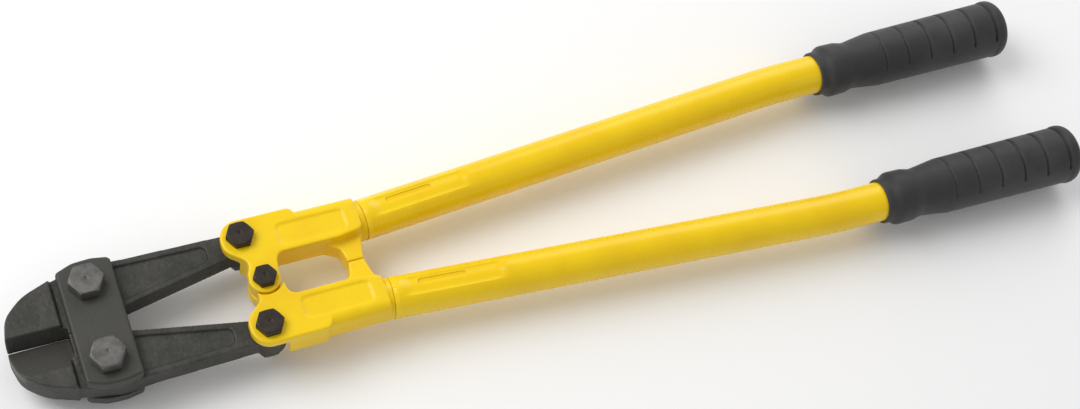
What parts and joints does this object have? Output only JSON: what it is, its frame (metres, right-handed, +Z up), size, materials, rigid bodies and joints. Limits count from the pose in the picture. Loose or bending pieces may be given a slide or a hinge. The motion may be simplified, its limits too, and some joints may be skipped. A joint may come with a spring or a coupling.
{
  "type": "bolt cutters",
  "caption": "Long-handled compound-lever bolt cutters: forged jaws between side plates, cast handle heads, steel tube handles and rubber grips.",
  "frame": {"origin": "under the middle of the closed tool's bounding box, on the surface it lies on", "axes": "+X from the jaws back to the grips, +Y from the lower handle to the upper handle, +Z up through the flat faces, out of the face with the bolt heads"},
  "size_m": [0.5954, 0.1248, 0.0392],
  "materials": {
    "paint_yellow": "gloss yellow enamel over cast and tube steel",
    "forged_jaw": "matt phosphated forging, ground edges",
    "jaw_plate": "matt phosphated plate",
    "plate_fastener": "phosphated steel",
    "black_fastener": "black oxide steel",
    "grip_rubber": "soft matt black rubber"
  },
  "bodies": {
    "lower_handle": {"lower_handle_head": "paint_yellow", "lower_tube": "paint_yellow", "lower_grip": "grip_rubber", "lower_ear_bolt": "black_fastener", "lower_ear_washer": "black_fastener", "lower_ear_nut": "black_fastener"},
    "upper_handle": {"upper_handle_head": "paint_yellow", "upper_tube": "paint_yellow", "upper_grip": "grip_rubber", "upper_ear_bolt": "black_fastener", "upper_ear_washer": "black_fastener", "upper_ear_nut": "black_fastener", "centre_bolt": "black_fastener", "centre_washer": "black_fastener", "centre_nut": "black_fastener"},
    "lower_jaw": {"lower_jaw": "forged_jaw"},
    "side_plates": {"front_jaw_plate": "jaw_plate", "rear_jaw_plate": "jaw_plate", "plate_bolts": "plate_fastener", "plate_washers": "plate_fastener", "plate_nuts": "plate_fastener"},
    "upper_jaw": {"upper_jaw": "forged_jaw"}
  },
  "joints": [
    {"name": "handles_open", "type": "hinge", "parent": "lower_handle", "child": "upper_handle", "pos_m": [-0.16853, 0, 0.0204], "axis": [0, 0, 1], "range_deg": [0, 80]},
    {"name": "lower_jaw_pivot", "type": "hinge", "parent": "lower_handle", "child": "lower_jaw", "pos_m": [-0.17383, -0.0259, 0.0204], "axis": [0, 0, 1], "range_deg": [0, 46.23]},
    {"name": "plate_pivot", "type": "hinge", "parent": "lower_jaw", "child": "side_plates", "pos_m": [-0.25343, -0.0207, 0.0204], "axis": [0, 0, 1], "range_deg": [-6.22, 0]},
    {"name": "upper_jaw_pivot", "type": "hinge", "parent": "side_plates", "child": "upper_jaw", "pos_m": [-0.25343, 0.0207, 0.0204], "axis": [0, 0, 1], "range_deg": [-6.22, 0]}
  ],
  "couplings": [
    {"joint": "lower_jaw_pivot", "follows": "handles_open", "ratio": 0.57656},
    {"joint": "plate_pivot", "follows": "handles_open", "ratio": -0.076563},
    {"joint": "upper_jaw_pivot", "follows": "handles_open", "ratio": -0.076563}
  ]
}
